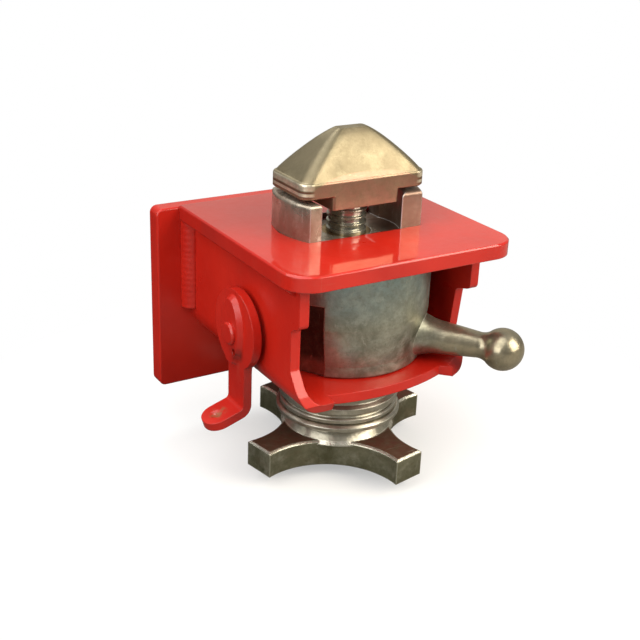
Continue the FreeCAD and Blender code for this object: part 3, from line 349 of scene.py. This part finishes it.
def bolt_zones(g, place):
    """Painted reflection of the red plate on the long sides of the head, painted shade in two groove lines
    round the rim's ends between painted highlights, painted shade on the roof's ends, and the polished neck.
    """
    x, _, z = g.split(place)
    side = g.math("ABSOLUTE", x)
    ends = g.step(side, head_half_length - 0.010, head_half_length - 0.006)
    long_sides = g.step(ends, 0.0, 1.0, 1.0, 0.0)
    # The painted reflection of the red plate on the flank ends in a low arch, higher in the middle than at
    # the corners.
    corner_drop = 0.0150
    drop = g.math("MULTIPLY", g.math("POWER", g.math("DIVIDE", side, head_half_length), 3.0), corner_drop)
    arch = g.step(g.math("ADD", z, drop), rim_top + 0.0043, rim_top + 0.0031)
    above_hub_foot = g.step(z, hub_foot - 0.0015, hub_foot + 0.0005)
    cloud = g.step(g.noise(place, 40.0, rough=0.6), 0.30, 0.55, 0.45, 1.0)
    flanks = g.overlap(arch, above_hub_foot, long_sides, cloud)
    # Painted light on the rim's ends: two dark lines of painted shade in grooves, with bands of painted
    # highlight between and above them.
    seam = g.overlap(g.band(z, rim_foot + 0.0057, rim_foot + 0.0065, 0.0006), ends)
    lower_seam = g.overlap(g.band(z, rim_foot + 0.0021, rim_foot + 0.0027, 0.0005), ends)
    lower_line = g.band(z, rim_foot + 0.0033, rim_foot + 0.0051, 0.0007)
    upper_line = g.band(z, rim_foot + 0.0079, rim_foot + 0.0117, 0.0008)
    bright = g.overlap(g.math("ADD", lower_line, upper_line), ends)
    inside_neck = g.step(g.reach(place), neck_flare + 0.0010, neck_flare + 0.0002)
    neck = g.overlap(inside_neck, g.band(z, plate_foot, hub_foot - 0.0010, 0.001))
    # The end slopes of the roof lie past a plane that leans in as it rises, and painted shade darkens them in
    # patches.
    slope_lean, slope_start, slope_full = 1.28, 0.1035, 0.1100
    past_hip = g.step(g.math("ADD", side, g.math("MULTIPLY", z, slope_lean)), slope_start, slope_full)
    above_rim = g.step(z, rim_top + 0.0005, rim_top + 0.0045)
    shade_patchiness = g.step(g.noise(place, 30.0, rough=0.65, warp=0.6), 0.30, 0.58, 0.35, 1.0)
    slopes = g.overlap(past_hip, above_rim, shade_patchiness)
    return ((slopes, (0.17, 0.145, 0.09), 0.72, 0.48), (flanks, (0.36, 0.175, 0.125), 0.80, 0.31),
            (bright, (0.95, 0.86, 0.66), 0.90, 0.34), (seam, (0.13, 0.045, 0.03), 0.90, 0.60),
            (lower_seam, (0.20, 0.075, 0.05), 0.80, 0.60), (neck, (0.46, 0.48, 0.44), 0.85, 0.20))


def body_zones(g, place):
    """Painted bluish reflection on the top of the drum, painted shade in the relief for the catch, and the
    handle that hands keep smooth.
    """
    x, _, z = g.split(place)
    reach = g.reach(place)
    # Painted bluish reflection: the top of the drum is lighter and bluer.
    cloud = g.step(g.noise(place, 16.0, rough=0.6, warp=0.8), 0.30, 0.60, 0.35, 1.0)
    top = g.overlap(g.step(z, drum_top - 0.048, drum_top - 0.016), cloud)
    # Painted shade in the relief on the left of the drum, near black.
    hollow = g.step(reach, drum_radius - 0.0060, drum_radius - 0.0070)
    left_side = g.step(x, -0.02, -0.03)
    relief = g.overlap(hollow, g.band(z, drum_top - 0.076, drum_top - 0.030, 0.006), left_side)
    grip = g.step(reach, drum_radius, drum_radius + 0.022)
    return ((top, (0.34, 0.48, 0.51), 0.72, 0.38), (relief, (0.055, 0.030, 0.020), 0.92, 0.60),
            (grip, (0.415, 0.35, 0.235), 0.80, 0.28))


def nut_zones(g, place):
    """Turned crown under the dished washer, a painted reflection of the red housing on the upper faces, and
    bright chamfers of worn metal with a painted highlight.
    """
    _, _, z = g.split(place)
    up = g.facing_up()
    crown = g.step(z, nut_arm_top + 0.0003, nut_arm_top + 0.0009)
    below_crown = g.step(z, nut_arm_top + 0.0009, nut_arm_top + 0.0003)
    cloud = g.step(g.noise(place, 55.0, detail=7.0, rough=0.65), 0.30, 0.56, 0.75, 1.0)
    # Painted reflection of the red housing above: the upper faces are dark red-brown.
    top = g.overlap(g.step(up, 0.80, 0.95), below_crown, cloud)
    # Bright chamfers: worn metal and a painted highlight along the arms' edges.
    bevel = g.overlap(g.band(up, 0.58, 0.80, 0.06), below_crown)
    return ((crown, (0.48, 0.445, 0.37), 0.85, 0.28), (top, (0.15, 0.040, 0.024), 0.92, 0.66),
            (bevel, (0.80, 0.76, 0.66), 0.85, 0.24))


def collar_zones(g, place):
    """Painted shade and red reflection on the right cheek, a painted reflection of the red plate at the foot
    of the left one, and streaks down their sides.
    """
    x, _, z = g.split(place)
    cloud = g.step(g.noise(place, 38.0, detail=7.0, rough=0.65, warp=0.5), 0.32, 0.62, 0.45, 1.0)
    # Painted shade and red reflection: the right cheek is darker and red-brown.
    right_cheek = g.step(x, collar_half_length - 0.039, collar_half_length - 0.025)
    stain = g.overlap(right_cheek, g.step(cloud, 0.4, 1.0, 0.75, 1.0))
    # Painted reflection of the red plate: the left cheek's end is reddish low down.
    left_end = g.step(x, -collar_half_length + 0.019, -collar_half_length + 0.005)
    foot = g.overlap(left_end, g.step(z, cheek_top - 0.0045, cheek_top - 0.0245), cloud)
    streaks = g.step(g.noise(place, 20.0, rough=0.7, stretch=(8.0, 8.0, 0.8)), 0.48, 0.66)
    return ((streaks, (0.36, 0.25, 0.19), 0.60, 0.42), (stain, (0.20, 0.095, 0.06), 0.85, 0.40),
            (foot, (0.24, 0.07, 0.045), 0.85, 0.46))


plate_paint = red_paint("plate_paint", gloss=0.045, marks=plate_marks)
wall_paint = red_paint("wall_paint", gloss=0.26, coat=0.7)
lever_paint = red_paint("lever_paint", gloss=0.24, coat=0.8, marks=lever_marks)
bead_paint = red_paint("bead_paint", gloss=0.28, coat=0.7, ripple=(0.0, 1.0, 0.0))
upright_bead_paint = red_paint("upright_bead_paint", gloss=0.28, coat=0.7, ripple=(0.0, 0.0, 1.0))
head_steel = steel("head_steel", dark=(0.18, 0.145, 0.085), mid=(0.29, 0.24, 0.15), pale=(0.37, 0.32, 0.20),
                   tint=(0.21, 0.14, 0.09), metal=0.80, rough=(0.36, 0.50), dents=0.25, zones=bolt_zones,
                   thread=True)
block_steel = steel("block_steel", dark=(0.24, 0.19, 0.14), mid=(0.58, 0.52, 0.43), pale=(0.80, 0.76, 0.66),
                    tint=(0.42, 0.28, 0.21), metal=0.74, rough=(0.18, 0.34), zones=collar_zones)
body_steel = steel("body_steel", dark=(0.16, 0.16, 0.12), mid=(0.40, 0.395, 0.32), pale=(0.54, 0.53, 0.45),
                   tint=(0.29, 0.34, 0.32), metal=0.85, rough=(0.32, 0.48), lines=(14.0, 14.0, 90.0),
                   zones=body_zones)
nut_steel = steel("nut_steel", dark=(0.11, 0.105, 0.055), mid=(0.25, 0.24, 0.16), pale=(0.40, 0.39, 0.30),
                  tint=(0.20, 0.12, 0.07), metal=0.75, rough=(0.32, 0.56), zones=nut_zones, rub=0.0018)
ring_steel = steel("ring_steel", dark=(0.26, 0.24, 0.18), mid=(0.56, 0.53, 0.44), pale=(0.76, 0.73, 0.63),
                   tint=(0.36, 0.26, 0.17), metal=0.92, rough=(0.27, 0.42), grain=120.0, dents=0.06)
bush_bronze = steel("bush_bronze", dark=(0.20, 0.12, 0.04), mid=(0.42, 0.28, 0.12), pale=(0.60, 0.45, 0.24),
                    tint=(0.12, 0.10, 0.06), metal=0.95, rough=(0.22, 0.40), dents=0.10)

finish = {
    wall_paint: ("back_plate", "housing_channel"),
    plate_paint: ("top_plate",),
    bead_paint: ("weld_top_left", "weld_top_right"),
    upright_bead_paint: ("weld_back_left", "weld_back_right"),
    lever_paint: ("safety_lever", "pivot_pin"),
    block_steel: ("shear_block",),
    head_steel: ("twist_bolt",),
    body_steel: ("handle_body",),
    nut_steel: ("star_nut", "catch_pawl"),
    ring_steel: ("lower_ring", "ring_washer", "dished_washer", "lever_spacer", "drive_key", "end_washer",
                 "retaining_clip", "pivot_circlip"),
    bush_bronze: ("upper_bush", "lower_bush", "pivot_bush"),
}
for material, names in finish.items():
    for name in names:
        mesh = nodes[name].data
        mesh.materials.clear()
        mesh.materials.append(material)


# Floor, light and camera
def camera_choice(g, for_camera, for_light):
    """Shader that is one thing for the camera's own rays and another for light and reflections."""
    ray = g.add("ShaderNodeLightPath")
    choice = g.add("ShaderNodeMixShader")
    g.put(choice, 0, (ray, "Is Camera Ray"))
    g.put(choice, 1, (for_light, 0))
    g.put(choice, 2, (for_camera, 0))
    return choice


def floor_paper():
    """White paper that fades into the white background. Light bounces off it less, least of all behind."""
    material = bpy.data.materials.new("floor_white")
    g = Graph(material)
    position = (g.add("ShaderNodeNewGeometry"), "Position")
    distance = g.add("ShaderNodeVectorMath", operation="LENGTH")
    g.put(distance, 0, position)
    paper = g.add("ShaderNodeBsdfDiffuse")
    g.put(paper, "Color", (0.95, 0.95, 0.95, 1.0))
    glow = g.add("ShaderNodeEmission")
    fade = g.add("ShaderNodeMixShader")
    g.put(fade, 0, g.step((distance, "Value"), 0.16, 0.42, 0.25, 1.0))
    g.put(fade, 1, (paper, 0))
    g.put(fade, 2, (glow, 0))
    in_front = g.step(g.dot(position, (0.35, -0.94, 0.0)), -0.20, 0.18)
    bounce = g.add("ShaderNodeBsdfDiffuse")
    g.put(bounce, "Color", g.mix(in_front, (0.03, 0.03, 0.03), (0.30, 0.29, 0.27)))
    output = g.add("ShaderNodeOutputMaterial")
    g.put(output, "Surface", (camera_choice(g, fade, bounce), 0))
    return material


def lay_floor():
    """Wide square just under the lowest point of the object."""
    half, gap = 6.0, 0.0002
    level = first_box[0][2] - gap
    corners = [(-half, -half, level), (half, -half, level), (half, half, level), (-half, half, level)]
    mesh = bpy.data.meshes.new("floor")
    mesh.from_pydata(corners, [], [(0, 1, 2, 3)])
    mesh.materials.append(floor_paper())
    floor = bpy.data.objects.new("floor", mesh)
    scene.collection.objects.link(floor)


def studio():
    """White for the camera. For light and reflections a dim room, with a bright backdrop at the far right."""
    world = bpy.data.worlds.new("studio")
    scene.world = world
    g = Graph(world)
    direction = (g.add("ShaderNodeTexCoord"), "Generated")
    height = g.step(g.split(direction)[2], -1.0, 1.0)
    room = g.ramp(height, ((0.40, (0.13, 0.12, 0.11)), (0.62, (0.17, 0.17, 0.16)), (1.0, (0.50, 0.51, 0.52))))
    towards_backdrop = g.step(g.dot(direction, (0.50, 0.82, 0.28)), 0.62, 0.97)
    dim = g.add("ShaderNodeBackground")
    g.put(dim, "Color", g.mix(towards_backdrop, room, (0.56, 0.54, 0.475)))
    white = g.add("ShaderNodeBackground")
    g.put(white, "Color", (1.0, 1.0, 1.0, 1.0))
    output = g.add("ShaderNodeOutputWorld")
    g.put(output, "Surface", (camera_choice(g, white, dim), 0))


def softbox(name, spot, aim, size, power, tone=(1.0, 1.0, 1.0)):
    """Rectangular lamp at a spot, turned towards its aim. The power is in watts."""
    lamp = bpy.data.lights.new(name, "AREA")
    lamp.shape = "RECTANGLE"
    lamp.size, lamp.size_y = size
    lamp.energy = power
    lamp.color = tone
    item = bpy.data.objects.new(name, lamp)
    item.location = spot
    item.rotation_euler = (Vector(aim) - Vector(spot)).to_track_quat("-Z", "Y").to_euler()
    scene.collection.objects.link(item)


def photo_camera():
    """Camera of the photograph, fitted to the edges of the plates.

    The values in pixels belong to its square picture: optical centre, place of the origin, focal length."""
    picture = 640.0
    picture_centre = Vector((322.52, 312.10))
    origin_pixel = Vector((346.09, 222.97))
    focal_pixels = 1102.72
    distance = 0.87406
    azimuth, elevation, roll = (math.radians(angle) for angle in (-32.23, 22.71, 2.33))
    toward = Vector((math.sin(azimuth) * math.cos(elevation), -math.cos(azimuth) * math.cos(elevation),
                     math.sin(elevation)))
    level = Vector((math.cos(azimuth), math.sin(azimuth), 0.0))
    upright = toward.cross(level)
    right = level * math.cos(roll) + upright * math.sin(roll)
    up = -level * math.sin(roll) + upright * math.cos(roll)
    offset = (origin_pixel - picture_centre) / focal_pixels * distance
    spot = toward * distance - right * offset.x + up * offset.y
    lens = bpy.data.cameras.new("photo_camera")
    lens.sensor_width = 36.0
    lens.lens = focal_pixels / picture * lens.sensor_width
    lens.shift_x = (picture / 2 - picture_centre.x) / picture
    lens.shift_y = (picture_centre.y - picture / 2) / picture
    lens.clip_start = 0.01
    camera = bpy.data.objects.new("photo_camera", lens)
    camera.matrix_world = Matrix.Translation(spot) @ Matrix((right, up, toward)).transposed().to_4x4()
    scene.collection.objects.link(camera)
    scene.camera = camera


lay_floor()
studio()
softbox("key_light", spot=(0.78, -1.08, 0.77), aim=(0.0, 0.0, 0.0), size=(1.15, 1.15), power=27.5,
        tone=(1.0, 0.93, 0.79))
softbox("left_light", spot=(-1.45, -0.55, 0.30), aim=(0.0, 0.0, -0.05), size=(0.9, 0.7), power=7.5,
        tone=(1.0, 0.99, 0.97))
softbox("high_light", spot=(-0.70, -0.09, 0.97), aim=(0.05, -0.05, -0.05), size=(1.50, 1.50), power=17.5,
        tone=(1.0, 0.98, 0.93))
softbox("back_light", spot=(0.10, 0.75, 1.20), aim=(0.0, 0.08, -0.05), size=(0.50, 0.50), power=5.0)
photo_camera()
scene.view_settings.view_transform = "Standard"
